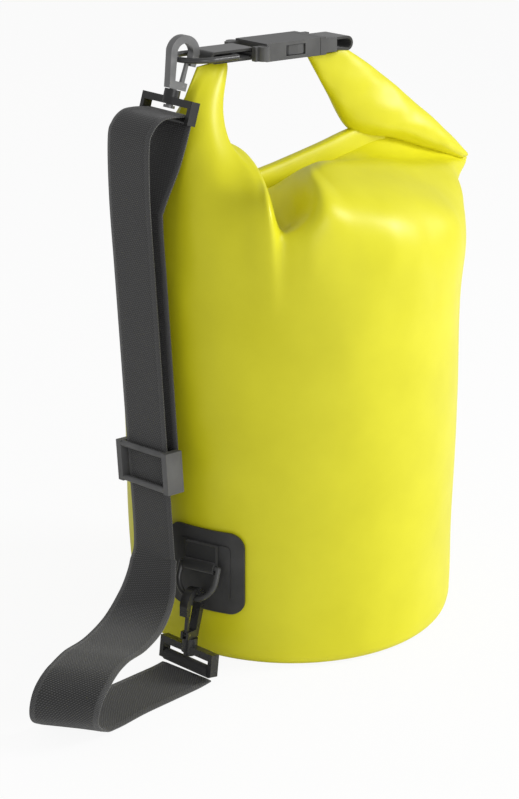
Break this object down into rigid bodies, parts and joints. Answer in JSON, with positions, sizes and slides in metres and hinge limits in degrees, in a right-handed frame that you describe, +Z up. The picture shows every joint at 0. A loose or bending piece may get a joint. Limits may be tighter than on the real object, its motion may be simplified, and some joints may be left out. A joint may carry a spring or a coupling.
{
  "type": "roll-top dry bag",
  "caption": "Cylindrical roll-top waterproof bag with a buckled carry loop and a detachable adjustable shoulder strap.",
  "frame": {"origin": "centre of the base on the floor", "axes": "+Z up, +X along the rolled mouth away from the shoulder strap, -Y the front"},
  "size_m": [0.3668, 0.2, 0.357],
  "materials": {
    "tarpaulin": "satin PVC-coated tarpaulin",
    "stiffener": "plain plastic strip",
    "webbing": "woven polyester webbing",
    "strap": "woven polyester strap",
    "patch": "smooth coated patch",
    "buckle": "moulded acetal, satin",
    "ring": "moulded, glossy",
    "upper_hook": "cast alloy, satin grey",
    "hook_base": "moulded acetal, glossy",
    "slider": "moulded acetal, fine grain"
  },
  "bodies": {
    "bag": {"bag_tube": "tarpaulin", "base_panel": "tarpaulin", "side_seam_tape": "tarpaulin", "rolled_mouth": "tarpaulin", "mouth_stiffeners": "stiffener", "webbing_left": "webbing", "buckle_female": "buckle", "anchor_patch": "patch", "patch_panel": "patch", "patch_tab": "webbing", "upper_hook_base": "hook_base", "lower_hook_base": "hook_base", "strap_run": "strap", "strap_return": "strap", "strap_lower_fold": "strap"},
    "male_half": {"buckle_male": "buckle", "webbing_right": "webbing"},
    "prong_front": {"buckle_prong_front": "buckle"},
    "prong_rear": {"buckle_prong_rear": "buckle"},
    "upper_ring": {"upper_d_ring": "ring"},
    "upper_snap_hook": {"upper_hook": "upper_hook", "upper_gate_pin": "ring"},
    "upper_gate": {"upper_hook_gate": "upper_hook"},
    "lower_ring": {"lower_d_ring": "ring"},
    "lower_snap_hook": {"lower_hook": "hook_base", "lower_gate_pin": "ring"},
    "lower_gate": {"lower_hook_gate": "hook_base"},
    "slider": {"strap_slider": "slider", "strap_end_fold": "strap"}
  },
  "joints": [
    {"name": "buckle_release", "type": "slide", "parent": "bag", "child": "male_half", "axis": [1, 0, 0], "range_m": [0, 0.03], "deforming": ["webbing_right", "buckle_prong_front", "buckle_prong_rear"]},
    {"name": "front_prong_squeeze", "type": "hinge", "parent": "male_half", "child": "prong_front", "pos_m": [0.007, -0.0094, 0.344], "axis": [0, 0, -1], "range_deg": [0, 7], "stiffness_Nm_per_rad": 0.05},
    {"name": "rear_prong_squeeze", "type": "hinge", "parent": "male_half", "child": "prong_rear", "pos_m": [0.007, 0.0094, 0.344], "axis": [0, 0, 1], "range_deg": [0, 7], "stiffness_Nm_per_rad": 0.05},
    {"name": "upper_ring_swing", "type": "hinge", "parent": "bag", "child": "upper_ring", "pos_m": [-0.052, 0, 0.344], "axis": [0, 1, 0], "range_deg": [-14, 7]},
    {"name": "upper_hook_swivel", "type": "hinge", "parent": "bag", "child": "upper_snap_hook", "pos_m": [-0.08553, 0, 0.32835], "axis": [0.2924, 0, 0.9563], "range_deg": [-15, 15]},
    {"name": "upper_gate_press", "type": "hinge", "parent": "upper_snap_hook", "child": "upper_gate", "pos_m": [-0.08024, 0, 0.32924], "axis": [0, -1, 0], "range_deg": [0, 14], "stiffness_Nm_per_rad": 0.05},
    {"name": "lower_ring_swing", "type": "hinge", "parent": "bag", "child": "lower_ring", "pos_m": [-0.09842, -0.03778, 0.062], "axis": [0.3584, -0.9336, 0], "range_deg": [-2, 3]},
    {"name": "lower_hook_swivel", "type": "hinge", "parent": "bag", "child": "lower_snap_hook", "pos_m": [-0.10882, -0.04177, 0.02168], "axis": [0.1621, 0.0622, 0.9848], "range_deg": [-12, 12]},
    {"name": "lower_gate_press", "type": "hinge", "parent": "lower_snap_hook", "child": "lower_gate", "pos_m": [-0.11284, -0.04332, 0.02487], "axis": [-0.3584, 0.9336, 0], "range_deg": [0, 14], "stiffness_Nm_per_rad": 0.05},
    {"name": "slider_travel", "type": "slide", "parent": "bag", "child": "slider", "axis": [0, 0.0896, 0.996], "range_m": [-0.03, 0.11], "deforming": ["strap_return"]}
  ]
}
